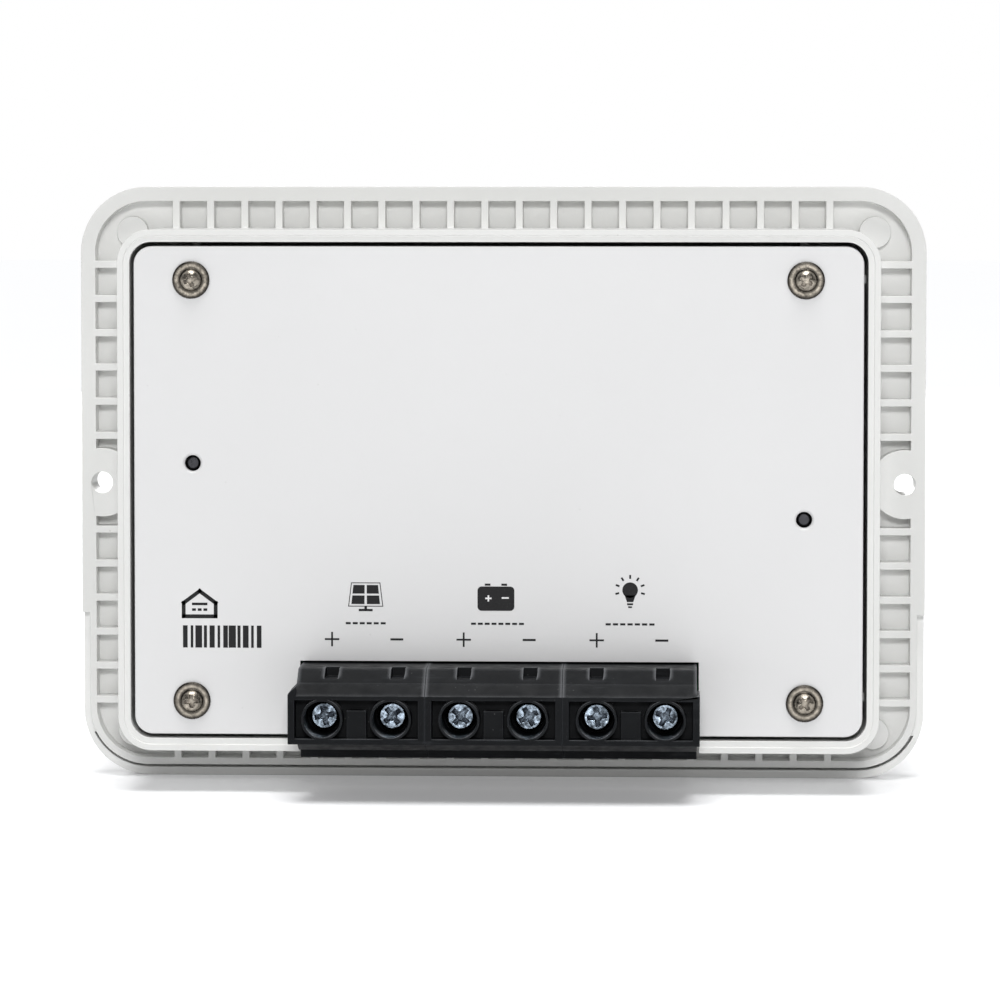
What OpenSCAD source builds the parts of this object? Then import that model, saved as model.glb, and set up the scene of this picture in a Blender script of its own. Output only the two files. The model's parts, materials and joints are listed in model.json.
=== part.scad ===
// Flush-mount solar charge controller, standing upright as installed.
// +Z is up, the display front faces -Y, the cover and the terminals face +Y.
// The origin is midway between the two mounting holes, on the flange face that meets the wall.

/* [Flange] */
// Width of the flange
flange_w = 166.5; // [166:0.5:170]
// Height of the flange
flange_h = 117; // [116:0.2:120]
// Depth from the front face to the wall plane
flange_t = 10; // [9.5:0.5:12]
// Radius of the flange's outer corners
flange_r = 13; // [11:0.5:15]
// Radius along the flange's front edge
flange_edge_r = 3; // [1:0.5:4]
// Thickness of the front wall
front_wall = 2.5; // [2.2:0.1:3]
// Width of the rim outside the stiffening cells
rim_w = 2.85; // [2.75:0.05:3.2]
// Extra rim width along the bottom edge
rim_extra = 1; // [0.4:0.1:1.4]
// Width of the step down the lower half of the rim's sides
step_side_w = 1.5; // [1:0.1:1.8]
// Width of the step along the rim's bottom
step_low_w = 2.5; // [2:0.1:2.8]
// Depth of that step
step_t = 3.2; // [2:0.2:4]
// Height at which the step starts
step_z = -25.8; // [-32:0.2:-20]

/* [Stiffening cells] */
// Depth of the cells
cell_depth = 4.5; // [3:0.5:7]
// Spacing of the ribs between the cells
rib_pitch = 6.77; // [6.6:0.01:6.8]
// Thickness of each rib
rib_t = 1.4; // [1:0.1:1.8]
// Height of the first side rib above and below the mounting hole
side_rib_z = 9.3; // [9:0.1:9.6]
// Number of ribs along the top and bottom
long_ribs = 20; // [16:2:20]
// Number of ribs above and below each mounting hole
side_ribs = 6; // [4:1:6]

/* [Mounting] */
// Spacing of the two mounting holes
mount_pitch = 158.4; // [157:0.1:159]
// Diameter of the mounting holes
mount_d = 4.2; // [3.4:0.1:4.4]
// Radius of the solid pad round each mounting hole
pad_r = 6.8; // [6:0.1:7.2]

/* [Box] */
// Width of the box behind the wall plane
box_w = 146.6; // [146:0.2:148]
// Height of the box
box_h = 100.6; // [100.4:0.2:102]
// Depth of the box behind the wall plane
box_depth = 24; // [24:0.5:26]
// Thickness of the box wall
box_wall = 2.4; // [1.8:0.1:2.4]
// Radius of the box's outer corners
box_r = 6.5; // [6:0.5:8]

/* [Cover plate] */
// Thickness of the aluminium cover plate
plate_t = 2; // [1.6:0.1:2]
// Gap between the plate and the box wall
plate_gap = 0.8; // [0.6:0.1:1.2]
// Radius of the plate's corners
plate_r = 3.5; // [2.5:0.5:5]
// Depth of the plate's face below the box rim
plate_sunk = 0.5; // [0.2:0.1:1]
// Spacing of the cover screws across the plate
plate_screw_x = 118; // [117:0.5:119]
// Spacing of the cover screws up the plate
plate_screw_z = 81.2; // [80.6:0.2:81.6]
// Distance of each clamp screw hole from the plate's upright centre line
clamp_x = 58.8; // [58.4:0.1:59.2]
// Height of one clamp screw hole above centre, and of the other below it
clamp_z = 5.3; // [5:0.1:5.6]

/* [Terminal block] */
// Spacing of the terminal poles
pole_pitch = 13; // [12.9:0.05:13.1]
// Height of the screw wells' centre line
pole_z = -42.3; // [-42.4:0.1:-42.2]
// Sideways offset of the terminal block from the centre
block_x = 0.2; // [0:0.1:0.4]
// How far the block's top stands behind the wall plane
block_top = 40; // [39:0.5:42]
// Outer radius of each well's collar
collar_r = 3.95; // [3.9:0.05:4]
// Inner radius of each well
well_r = 3.45; // [3.4:0.05:3.5]
// Depth of the screw head below the top of its well
head_sunk = 7; // [6:0.5:8]

/* [Front] */
// Width of the display lens
lens_w = 74; // [72:1:76]
// Height of the display lens
lens_h = 42; // [40:1:44]
// Height of the lens centre
lens_z = 14; // [13:0.5:15]
// Spacing of the push buttons
button_pitch = 26; // [22:1:30]
// Height of the push buttons' centre line
button_z = -31; // [-33:0.5:-29]
// Diameter of the push buttons
button_d = 10; // [8:0.5:11]
// Height of the status lamps' centre line
lamp_z = -17; // [-18:0.5:-16]

/* [Hidden] */
$fn = 64;

// Small overlap that keeps a cut clear of the face it opens.
eps = 0.01;
// Running clearance between a turning or sliding piece and its hole.
run_gap = 0.05;

// Planes along Y, from the front to the back.
front_y = -flange_t;
front_in_y = front_y + front_wall;
box_in_w = box_w - 2 * box_wall;
box_in_h = box_h - 2 * box_wall;
box_in_r = box_r - box_wall;
plate_top_y = box_depth - plate_sunk;
plate_under_y = plate_top_y - plate_t;
plate_w = box_in_w - 2 * plate_gap;
plate_h = box_in_h - 2 * plate_gap;
plate_edge_r = 0.3;
board_y = 8;
board_t = 1.6;
board_top_y = board_y + board_t;
display_board_y = -1.4;

// Centre and height of the ring that holds the stiffening cells.
cells_w = flange_w - 2 * rim_w;
cells_h = flange_h - 2 * rim_w - rim_extra;
cells_z = rim_extra / 2;
cells_r = flange_r - rim_w;
corner_boss_r = 3.1;
corner_boss_t = 2.6;

seam_z = -50;
seam_w = 0.9;
seam_depth = 5.8;

// Cover screws and the posts that take them.
post_r = 4.2;
post_web_t = 1.6;
post_web_drop = 9;
screw_r = 1.5;
plate_screw_len = 9;
washer_r = 3.6;
washer_t = 0.6;
pan_r = 2.2;
pan_t = 1.7;
cross_len = 2.6;
cross_w = 0.75;
cross_depth = 1.3;
// Extra radius of a plain hole round a screw.
bolt_gap = 0.2;

// Circuit board screws and bosses.
board_boss_x = 62;
board_boss_z = 29;
board_boss_r = 3.2;
board_screw_r = 1.25;
display_boss_x = 50;
display_boss_z = 31;
display_boss_r = 2.6;
display_screw_r = 1;
display_board_w = 108;
display_board_h = 78;
board_screw_len = 7;
display_screw_len = 5;

// Outline of the main board: a wide band between the bosses and a tall middle.
board_w = 132;
board_h = 66;
board_mid_w = 104;
board_low_z = -47;
board_high_z = 45;

// Parts on the main board, as X and Z of their centres.
capacitor_at = [[-30, 22], [-18, 22], [30, -18]];
capacitor_r = 5;
capacitor_len = 10.8;
groove_y = 1.2;
groove_t = 0.6;
groove_cut = 0.3;
inductor_at = [12, 14];
inductor_r = 6.5;
inductor_section = [6, 8];
chips_at = [[-6, -8], [-27, -6], [33, 24]];
chip_sizes = [[12, 12], [6, 8], [6, 8]];
chip_t = 1.6;
header_at = [-43.5, 2];
header_size = [5, 20];

// Terminal block section, as depth and height.
block_left = block_x - 3 * pole_pitch;
block_right = block_x + 3 * pole_pitch;
base_left = block_left + 0.5;
base_right = block_right - 1.55;
block_rear_z = -33.2;
block_wire_z = -51;
tower_rear_z = -37.5;
tower_wire_z = -47.05;
tower_depth = 10;
rear_edge_y = block_top - 6.4;
ledge_y = block_top - 3.1;
wire_shoulder_y = block_top - 7;
wire_ledge_y = block_top - 12;
edge_cut = 0.35;
shoulder_rise = 1.8;
slope_foot = 2.4;

// Inside of each terminal pole.
head_top_y = block_top - head_sunk;
head_t = 2.6;
head_r = 2.75;
head_cut = 0.4;
head_cross_len = 3.8;
head_cross_w = 0.95;
head_cross_depth = 1.5;
shoulder_y = head_top_y - head_t;
shoulder_t = 1.5;
chamber_top_y = shoulder_y - shoulder_t;
chamber_y = 12.6;
chamber_half_w = 5;
chamber_wire_z = -47.4;
chamber_rear_z = -37.2;
entry_half_w = 3.9;
entry_y = 14.2;
entry_t = 6.2;
entry_flare = 0.8;
bar_y = 20;
bar_t = 1.2;
bar_half_w = 2.6;
leg_z = -36.9;
leg_t = 1.2;
leg_end_y = 6.4;
bar_gap = 0.1;
shank_r = 2;
frame_wall = 1.3;
recess_t = 3.5;
recess_edge = 1.1;
land_half_w = 1.9;
land_h = 6.4;
land_cut = 1;
notch_x = -0.35;
notch_pitch = 12.6;
notch_w = 2.6;
notch_depth = 1.8;

// Clamp cage, open at rest.
cage_half_w = chamber_half_w - 0.1;
cage_side_t = 1.2;
cage_wire_z = -47.2;
cage_rear_z = -37.7;
cage_y = 13.2;
cage_floor_t = 1.2;
cage_nut_y = 21.5;
cage_nut_t = 2;

// Transistor banks under the cover plate.
pad_t = 0.6;
transistor_t = 4.5;
transistor_y = plate_under_y - pad_t - transistor_t;
transistor_offset = 9;
transistor_w = 10;
transistor_in = 53.5;
transistor_out = 62;
tab_out = 66;
tab_t = 1.3;
lead_in = 49.3;
lead_t = 0.8;
lead_pitch = 2.54;
lead_y = transistor_y + 1.2;
thermal_pad_in = 53;
thermal_pad_out = 66.5;
thermal_pad_h = 30;
clamp_bar_t = 3;
clamp_bar_w = 5;
clamp_bar_len = 32;
clamp_bar_y = transistor_y - clamp_bar_t;
clamp_head_t = 2.2;
clamp_head_r = 2.6;
clamp_tip_y = plate_top_y - 1.2;
clamp_tip_cut = 0.5;
clamp_hole_cut = 0.45;

// Front face.
overlay_w = 136;
overlay_h = 90;
overlay_r = 6;
overlay_t = 0.5;
lens_t = 1.5;
lens_ledge = 4;
lens_r = 3;
film_gap = 0.15;
lcd_w = 70;
lcd_h = 38;
backlight_t = 3.2;
button_r = button_d / 2;
button_proud = 1.2;
button_collar = 1.1;
button_collar_t = 0.8;
button_cut = 0.5;
lamp_pitch = 22;
lamp_r = 1.5;
lamp_base_r = 1.9;
lamp_base_t = 1.2;
lamp_sunk = 0.3;
switch_h = 3.8;
switch_w = 6;
plunger_r = 1.75;
plunger_end_y = display_board_y - 2;

// ---------- shared shapes ----------

// Extrudes an outline drawn in X and Z from one depth to another.
module slab(y_from, y_to) {
    translate([0, y_to, 0])
        rotate([90, 0, 0])
            linear_extrude(y_to - y_from)
                children();
}

// Extrudes an outline drawn in Y and Z from one side to the other.
module across(x_from, x_to) {
    translate([x_from, 0, 0])
        rotate([90, 0, 90])
            linear_extrude(x_to - x_from)
                children();
}

// Cylinder along Y.
module rod(r, y_from, y_to) {
    translate([0, y_from, 0])
        rotate([-90, 0, 0])
            cylinder(r = r, h = y_to - y_from);
}

// Cone along Y.
module taper(r_from, r_to, y_from, y_to) {
    translate([0, y_from, 0])
        rotate([-90, 0, 0])
            cylinder(r1 = r_from, r2 = r_to, h = y_to - y_from);
}

// Box between two corners.
module block(low, high) {
    translate(low)
        cube(high - low);
}

// Places its children as drawn where s is 1, or half a turn round Y where s is -1.
module half_turn(s) {
    rotate([0, s > 0 ? 0 : 180, 0])
        children();
}

module rounded_rect(w, h, r) {
    square([w - 2 * r, h], center = true);
    square([w, h - 2 * r], center = true);
    for (sx = [-1, 1], sz = [-1, 1])
        translate([sx * (w / 2 - r), sz * (h / 2 - r)])
            circle(r);
}

// Outline across a slab whose edges are rounded on its low side.
module edge_outline(span, t, edge_r) {
    translate([-span / 2, edge_r])
        square([span, t - edge_r]);
    translate([-span / 2 + edge_r, 0])
        square([span - 2 * edge_r, t]);
    for (s = [-1, 1])
        translate([s * (span / 2 - edge_r), edge_r])
            circle(edge_r);
}

// Rounded rectangle, 0 to t along Y, with its edge rounded at Y = 0.
module filleted_slab(w, h, t, corner_r, edge_r) {
    translate([0, 0, -h / 2 + corner_r])
        linear_extrude(h - 2 * corner_r)
            edge_outline(w, t, edge_r);
    translate([w / 2 - corner_r, 0, 0])
        rotate([0, -90, 0])
            linear_extrude(w - 2 * corner_r)
                edge_outline(h, t, edge_r);
    for (sx = [-1, 1], sz = [-1, 1])
        translate([sx * (w / 2 - corner_r), 0, sz * (h / 2 - corner_r)])
            rotate([-90, 0, 0])
                rotate_extrude()
                    intersection() {
                        edge_outline(2 * corner_r, t, edge_r);
                        square([corner_r, t]);
                    }
}

// Cross recess cut into a screw head whose top is at y.
module cross_recess(y, len, w, depth) {
    for (turn = [0, 90])
        rotate([0, turn, 0])
            block([-len / 2, y - depth, -w / 2], [len / 2, y + eps, w / 2]);
    taper(w / 2, w, y - depth, y + eps);
}

// ---------- front housing ----------

module cell_ribs() {
    long_start = -(long_ribs - 1) / 2 * rib_pitch;
    for (i = [0 : long_ribs - 1])
        translate([long_start + i * rib_pitch, 0])
            square([rib_t, flange_h], center = true);
    for (s = [-1, 1], i = [0 : side_ribs - 1])
        translate([0, s * (side_rib_z + i * rib_pitch)])
            square([flange_w, rib_t], center = true);
    for (s = [-1, 1])
        translate([s * mount_pitch / 2, 0])
            circle(pad_r);
}

module cells_outline() {
    difference() {
        translate([0, cells_z])
            rounded_rect(cells_w, cells_h, cells_r);
        rounded_rect(box_w, box_h, box_r);
        cell_ribs();
    }
}

module half_below(z) {
    translate([-flange_w, z - flange_h])
        square([2 * flange_w, flange_h]);
}

// Outline of the rim inside the step, grown by grow.
module stepped_rim(grow) {
    translate([0, (step_low_w - step_side_w) / 2])
        rounded_rect(flange_w - 2 * step_side_w + 2 * grow,
                     flange_h - step_low_w - step_side_w + 2 * grow,
                     flange_r - step_side_w + grow);
}

module step_outline() {
    difference() {
        half_below(step_z);
        stepped_rim(0);
    }
}

// Seam between the rim and the lip outside it, along the bottom and round its corners.
module seam_outline() {
    intersection() {
        half_below(seam_z);
        difference() {
            stepped_rim(seam_w);
            stepped_rim(0);
        }
    }
}

// Posts under the cover screws, each tied to the two nearest walls by a web.
module cover_posts() {
    for (sx = [-1, 1], sz = [-1, 1]) {
        x = sx * plate_screw_x / 2;
        z = sz * plate_screw_z / 2;
        web_x = box_in_w / 2 - plate_screw_x / 2;
        web_z = box_in_h / 2 - plate_screw_z / 2;
        slab(front_in_y - eps, plate_under_y)
            translate([x, z])
                circle(post_r);
        slab(front_in_y - eps, plate_under_y - post_web_drop) {
            translate([x + sx * web_x / 2, z])
                square([web_x + eps, post_web_t], center = true);
            translate([x, z + sz * web_z / 2])
                square([post_web_t, web_z + eps], center = true);
        }
    }
}

module board_bosses() {
    for (sx = [-1, 1], sz = [-1, 1]) {
        translate([sx * board_boss_x, 0, sz * board_boss_z])
            rod(board_boss_r, front_in_y - eps, board_y);
        translate([sx * display_boss_x, 0, sz * display_boss_z])
            rod(display_boss_r, front_in_y - eps, display_board_y);
    }
}

module screw_pilots() {
    for (sx = [-1, 1], sz = [-1, 1]) {
        translate([sx * plate_screw_x / 2, 0, sz * plate_screw_z / 2])
            rod(screw_r + run_gap, plate_under_y - plate_screw_len, plate_under_y + eps);
        translate([sx * board_boss_x, 0, sz * board_boss_z])
            rod(board_screw_r + run_gap, board_y - board_screw_len, board_y + eps);
        translate([sx * display_boss_x, 0, sz * display_boss_z])
            rod(display_screw_r + run_gap, display_board_y - display_screw_len, display_board_y + eps);
    }
}

module front_openings() {
    slab(front_y - eps, front_y + overlay_t)
        rounded_rect(overlay_w, overlay_h, overlay_r);
    translate([0, 0, lens_z]) {
        slab(front_y - eps, front_y + lens_t)
            rounded_rect(lens_w, lens_h, lens_r);
        block([-lens_w / 2 + lens_ledge, front_y, -lens_h / 2 + lens_ledge],
              [lens_w / 2 - lens_ledge, front_in_y + eps, lens_h / 2 - lens_ledge]);
    }
    for (i = [-1 : 1]) {
        translate([i * button_pitch, 0, button_z])
            rod(button_r + run_gap, front_y - eps, front_in_y + eps);
        translate([i * lamp_pitch, 0, lamp_z])
            rod(lamp_r + run_gap, front_y - eps, front_in_y + eps);
    }
}

module front_housing() {
    color("whitesmoke")
        difference() {
            union() {
                difference() {
                    translate([0, front_y, 0])
                        filleted_slab(flange_w, flange_h, flange_t, flange_r, flange_edge_r);
                    slab(-cell_depth, eps)
                        cells_outline();
                    slab(-step_t, eps)
                        step_outline();
                    slab(-seam_depth, eps)
                        seam_outline();
                }
                for (sx = [-1, 1], sz = [-1, 1])
                    translate([sx * box_w / 2, 0, sz * (box_h / 2 - corner_boss_r / 4)])
                        rod(corner_boss_r, front_in_y - eps, -corner_boss_t);
                slab(front_in_y, box_depth)
                    rounded_rect(box_w, box_h, box_r);
            }
            difference() {
                slab(front_in_y, box_depth + eps)
                    rounded_rect(box_in_w, box_in_h, box_in_r);
                cover_posts();
                board_bosses();
            }
            // Lowered inner lip of the box rim.
            slab(box_depth - plate_sunk / 2, box_depth + eps)
                rounded_rect(box_in_w + box_wall, box_in_h + box_wall, box_in_r + box_wall / 2);
            // Mouth that lets the terminal block through the lower wall.
            block([base_left - plate_gap / 2, board_top_y, -box_h / 2 - 1],
                  [base_right + plate_gap / 2, box_depth + 1, -box_in_h / 2 + 1]);
            screw_pilots();
            front_openings();
            for (s = [-1, 1])
                translate([s * mount_pitch / 2, 0, 0])
                    rod(mount_d / 2, front_y - 1, 1);
        }
}

// ---------- cover plate ----------

module back_plate() {
    color("gainsboro")
        difference() {
            translate([0, plate_top_y, 0])
                mirror([0, 1, 0])
                    filleted_slab(plate_w, plate_h, plate_t, plate_r, plate_edge_r);
            block([base_left - plate_gap / 2, plate_under_y - 1, -plate_h],
                  [base_right + plate_gap / 2, plate_top_y + 1, block_rear_z + plate_gap / 2]);
            for (sx = [-1, 1], sz = [-1, 1])
                translate([sx * plate_screw_x / 2, 0, sz * plate_screw_z / 2])
                    rod(screw_r + bolt_gap, plate_under_y - 1, plate_top_y + 1);
            for (s = [-1, 1])
                translate([s * clamp_x, 0, s * clamp_z]) {
                    rod(screw_r + run_gap, plate_under_y - 1, plate_top_y + 1);
                    taper(screw_r, screw_r + clamp_hole_cut,
                          plate_top_y - clamp_hole_cut, plate_top_y + eps);
                }
        }
}

// Pan head screw with a fixed washer, its washer resting on the plate.
module plate_screw(sx, sz, turn) {
    color("silver")
        translate([sx * plate_screw_x / 2, 0, sz * plate_screw_z / 2])
            rotate([0, turn, 0])
                difference() {
                    union() {
                        rod(screw_r, plate_under_y - plate_screw_len + 1, plate_top_y + eps);
                        translate([0, plate_top_y, 0])
                            rotate([-90, 0, 0])
                                rotate_extrude()
                                    washer_outline();
                        pan_head(plate_top_y + washer_t - eps);
                    }
                    cross_recess(plate_top_y + washer_t + pan_t, cross_len, cross_w, cross_depth);
                }
}

module washer_outline() {
    square([washer_r - washer_t / 2, washer_t]);
    translate([washer_r - washer_t / 2, washer_t / 2])
        circle(washer_t / 2);
}

module pan_head(y) {
    ball_r = (pan_r * pan_r + pan_t * pan_t) / (2 * pan_t);
    translate([0, y, 0])
        intersection() {
            translate([0, pan_t - ball_r, 0])
                sphere(ball_r);
            rod(pan_r, 0, pan_t + eps);
        }
}

module plate_screw_1() { plate_screw(1, 1, 20); }
module plate_screw_2() { plate_screw(-1, 1, 55); }
module plate_screw_3() { plate_screw(1, -1, 5); }
module plate_screw_4() { plate_screw(-1, -1, 35); }

// ---------- terminal block ----------

function pole_x(i) = block_right - (i - 0.5) * pole_pitch;

// Depth and height outline of the block, with its edges cut back.
module block_outline() {
    polygon([
        [board_top_y, block_wire_z],
        [wire_ledge_y - edge_cut, block_wire_z],
        [wire_ledge_y, block_wire_z + edge_cut],
        [wire_ledge_y, block_wire_z + shoulder_rise],
        [wire_shoulder_y, block_wire_z + shoulder_rise + edge_cut],
        [block_top - recess_t, tower_wire_z - edge_cut],
        [block_top - edge_cut, tower_wire_z],
        [block_top, tower_wire_z + edge_cut],
        [block_top, tower_rear_z - edge_cut],
        [block_top - edge_cut, tower_rear_z],
        [ledge_y + edge_cut, block_rear_z - slope_foot],
        [ledge_y, block_rear_z - slope_foot],
        [rear_edge_y, block_rear_z - edge_cut],
        [rear_edge_y - edge_cut, block_rear_z],
        [board_top_y, block_rear_z]
    ]);
}

// Recess in the block's top round one pair of wells.
module recess_outline(x_low) {
    difference() {
        translate([x_low + frame_wall, tower_wire_z + recess_edge])
            square([2 * pole_pitch - 2 * frame_wall, tower_rear_z - tower_wire_z - 2 * recess_edge]);
        for (i = [0, 1])
            translate([x_low + (i + 0.5) * pole_pitch, pole_z])
                circle(collar_r);
        translate([x_low + pole_pitch - land_half_w, tower_wire_z])
            square([2 * land_half_w, land_h]);
    }
}

module pole_cavity(x) {
    translate([x, 0, pole_z]) {
        rod(well_r, shoulder_y, block_top + eps);
        rod(shank_r + run_gap, chamber_top_y - eps, shoulder_y + eps);
    }
    block([x - chamber_half_w, chamber_y, chamber_wire_z],
          [x + chamber_half_w, chamber_top_y, chamber_rear_z]);
    block([x - bar_half_w - bar_gap, board_top_y - eps, chamber_rear_z - eps],
          [x + bar_half_w + bar_gap, bar_y + bar_t + bar_gap, leg_z + leg_t + bar_gap]);
    wire_entry(x);
}

// Wire entry with a flared mouth on the side that faces down.
module wire_entry(x) {
    block([x - entry_half_w, entry_y, block_wire_z - eps],
          [x + entry_half_w, entry_y + entry_t, chamber_wire_z + eps]);
    block([x - entry_half_w - entry_flare, entry_y - entry_flare, block_wire_z - eps],
          [x + entry_half_w + entry_flare, entry_y + entry_t + entry_flare, block_wire_z + entry_flare]);
}

module terminal_housing(i) {
    x_high = block_right - 2 * (i - 1) * pole_pitch;
    x_low = x_high - 2 * pole_pitch;
    body_high = i == 1 ? base_right : x_high;
    body_low = i == 3 ? base_left : x_low;
    color("#26282b")
        difference() {
            union() {
                across(body_low, body_high)
                    block_outline();
                if (i == 1)
                    slab(block_top - tower_depth, block_top)
                        polygon([
                            [body_high - eps, tower_rear_z + x_high - body_high],
                            [x_high, tower_rear_z],
                            [x_high, tower_wire_z],
                            [body_high - eps, tower_wire_z]
                        ]);
                if (i == 3)
                    block([x_low, block_top - tower_depth, tower_wire_z],
                          [body_low + eps, block_top, tower_rear_z]);
            }
            slab(block_top - recess_t, block_top + eps)
                recess_outline(x_low);
            // Lower top of the land between the two collars.
            block([x_low + pole_pitch - land_half_w, block_top - land_cut, tower_wire_z + recess_edge],
                  [x_low + pole_pitch + land_half_w, block_top + eps, tower_wire_z + land_h]);
            for (k = [0, 1])
                pole_cavity(x_low + (k + 0.5) * pole_pitch);
            for (k = [2 * i - 1, 2 * i]) {
                x = notch_x + (3.5 - k) * notch_pitch;
                block([x - notch_w / 2, rear_edge_y - 2 * notch_depth, block_rear_z - notch_depth],
                      [x + notch_w / 2, block_top, block_rear_z + 1]);
            }
        }
}

module terminal_housing_1() { terminal_housing(1); }
module terminal_housing_2() { terminal_housing(2); }
module terminal_housing_3() { terminal_housing(3); }

module terminal_screw(i, turn) {
    color("lightsteelblue")
        translate([pole_x(i), 0, pole_z])
            rotate([0, turn, 0])
                difference() {
                    union() {
                        rod(shank_r, bar_y + bar_t + bar_gap, shoulder_y + run_gap + eps);
                        rod(head_r, shoulder_y + run_gap, head_top_y - head_cut);
                        taper(head_r, head_r - head_cut, head_top_y - head_cut - eps, head_top_y);
                    }
                    cross_recess(head_top_y, head_cross_len, head_cross_w, head_cross_depth);
                }
}

module terminal_screw_1() { terminal_screw(1, 12); }
module terminal_screw_2() { terminal_screw(2, 38); }
module terminal_screw_3() { terminal_screw(3, 50); }
module terminal_screw_4() { terminal_screw(4, 27); }
module terminal_screw_5() { terminal_screw(5, 8); }
module terminal_screw_6() { terminal_screw(6, 63); }

// Rising cage: its top plate is threaded on the screw, its floor lifts the wire to the bar.
module clamp_cage(i) {
    x = pole_x(i);
    side_in = cage_half_w - cage_side_t;
    color("silver")
        difference() {
            block([x - cage_half_w, cage_y, cage_wire_z],
                  [x + cage_half_w, cage_nut_y + cage_nut_t, cage_rear_z]);
            block([x - side_in, cage_y + cage_floor_t, cage_wire_z - 1],
                  [x + side_in, cage_nut_y, cage_rear_z + 1]);
            translate([x, 0, pole_z])
                rod(shank_r + run_gap, cage_nut_y - 1, cage_nut_y + cage_nut_t + 1);
        }
}

module clamp_cage_1() { clamp_cage(1); }
module clamp_cage_2() { clamp_cage(2); }
module clamp_cage_3() { clamp_cage(3); }
module clamp_cage_4() { clamp_cage(4); }
module clamp_cage_5() { clamp_cage(5); }
module clamp_cage_6() { clamp_cage(6); }

// Bar inside the cage with a leg down through the main board.
module contact_bar(i) {
    x = pole_x(i);
    color("burlywood")
        union() {
            block([x - bar_half_w, bar_y, chamber_wire_z + 0.4],
                  [x + bar_half_w, bar_y + bar_t, leg_z + leg_t]);
            block([x - bar_half_w, leg_end_y, leg_z],
                  [x + bar_half_w, bar_y + bar_t, leg_z + leg_t]);
        }
}

module contact_bar_1() { contact_bar(1); }
module contact_bar_2() { contact_bar(2); }
module contact_bar_3() { contact_bar(3); }
module contact_bar_4() { contact_bar(4); }
module contact_bar_5() { contact_bar(5); }
module contact_bar_6() { contact_bar(6); }

// ---------- main board ----------

module main_board() {
    color("darkgreen")
        difference() {
            slab(board_y, board_top_y) {
                square([board_w, board_h], center = true);
                translate([-board_mid_w / 2, board_low_z])
                    square([board_mid_w, board_high_z - board_low_z]);
            }
            for (sx = [-1, 1], sz = [-1, 1])
                translate([sx * board_boss_x, 0, sz * board_boss_z])
                    rod(board_screw_r + bolt_gap, board_y - 1, board_top_y + 1);
            for (i = [1 : 6])
                block([pole_x(i) - bar_half_w - bar_gap, board_y - 1, leg_z - bar_gap],
                      [pole_x(i) + bar_half_w + bar_gap, board_top_y + 1, leg_z + leg_t + bar_gap]);
        }
}

// Pan head screw along Y whose head rests at y.
module small_screw(r, len, y) {
    rod(r, y - len, y + eps);
    rod(1.9 * r, y, y + 0.9 * r);
    taper(1.9 * r, 1.3 * r, y + 0.9 * r - eps, y + 1.3 * r);
}

module board_screws() {
    color("silver")
        for (sx = [-1, 1], sz = [-1, 1])
            translate([sx * board_boss_x, 0, sz * board_boss_z])
                small_screw(board_screw_r, board_screw_len, board_top_y);
}

// Two power transistors held under the plate, their leads bent down to the main board.
module transistors(s) {
    tab_top_y = transistor_y + transistor_t;
    color("dimgray")
        half_turn(s)
            for (k = [-1, 1])
                translate([0, 0, clamp_z + k * transistor_offset]) {
                    block([transistor_in, transistor_y, -transistor_w / 2],
                          [transistor_out, tab_top_y, transistor_w / 2]);
                    block([transistor_out - eps, tab_top_y - tab_t, -transistor_w / 2],
                          [tab_out, tab_top_y, transistor_w / 2]);
                    for (lead = [-1 : 1])
                        translate([0, 0, lead * lead_pitch]) {
                            block([lead_in, lead_y, -lead_t / 2],
                                  [transistor_in + eps, lead_y + lead_t, lead_t / 2]);
                            block([lead_in, board_top_y, -lead_t / 2],
                                  [lead_in + lead_t, lead_y + eps, lead_t / 2]);
                        }
                }
}

module transistors_left() { transistors(1); }
module transistors_right() { transistors(-1); }

module clamp_bar(s) {
    color("gray")
        half_turn(s)
            translate([clamp_x, 0, clamp_z])
                difference() {
                    slab(clamp_bar_y, clamp_bar_y + clamp_bar_t)
                        square([clamp_bar_w, clamp_bar_len], center = true);
                    rod(screw_r + run_gap, clamp_bar_y - 1, clamp_bar_y + clamp_bar_t + 1);
                }
}

module clamp_bar_left() { clamp_bar(1); }
module clamp_bar_right() { clamp_bar(-1); }

// Screw from inside, its tip visible in the hole in the plate.
module clamp_screw(s) {
    color("silver")
        half_turn(s)
            translate([clamp_x, 0, clamp_z]) {
                rod(clamp_head_r, clamp_bar_y - clamp_head_t, clamp_bar_y);
                rod(screw_r, clamp_bar_y - eps, clamp_tip_y - clamp_tip_cut);
                taper(screw_r, screw_r - clamp_tip_cut, clamp_tip_y - clamp_tip_cut - eps, clamp_tip_y);
            }
}

module clamp_screw_left() { clamp_screw(1); }
module clamp_screw_right() { clamp_screw(-1); }

module thermal_pad(s) {
    color("lightblue")
        half_turn(s)
            difference() {
                block([thermal_pad_in, plate_under_y - pad_t, clamp_z - thermal_pad_h / 2],
                      [thermal_pad_out, plate_under_y, clamp_z + thermal_pad_h / 2]);
                translate([clamp_x, 0, clamp_z])
                    rod(screw_r + bolt_gap, plate_under_y - pad_t - 1, plate_under_y + 1);
            }
}

module thermal_pad_left() { thermal_pad(1); }
module thermal_pad_right() { thermal_pad(-1); }

// Upright capacitor with a groove near its base and a cut top edge.
module capacitor(i) {
    color("darkslategray")
        translate([capacitor_at[i - 1].x, board_top_y, capacitor_at[i - 1].y]) {
            rod(capacitor_r - groove_cut, 0, capacitor_len - groove_cut);
            rod(capacitor_r, 0, groove_y);
            rod(capacitor_r, groove_y + groove_t, capacitor_len - groove_cut);
            taper(capacitor_r, capacitor_r - groove_cut,
                  capacitor_len - groove_cut - eps, capacitor_len);
        }
}

module capacitor_1() { capacitor(1); }
module capacitor_2() { capacitor(2); }
module capacitor_3() { capacitor(3); }

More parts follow.
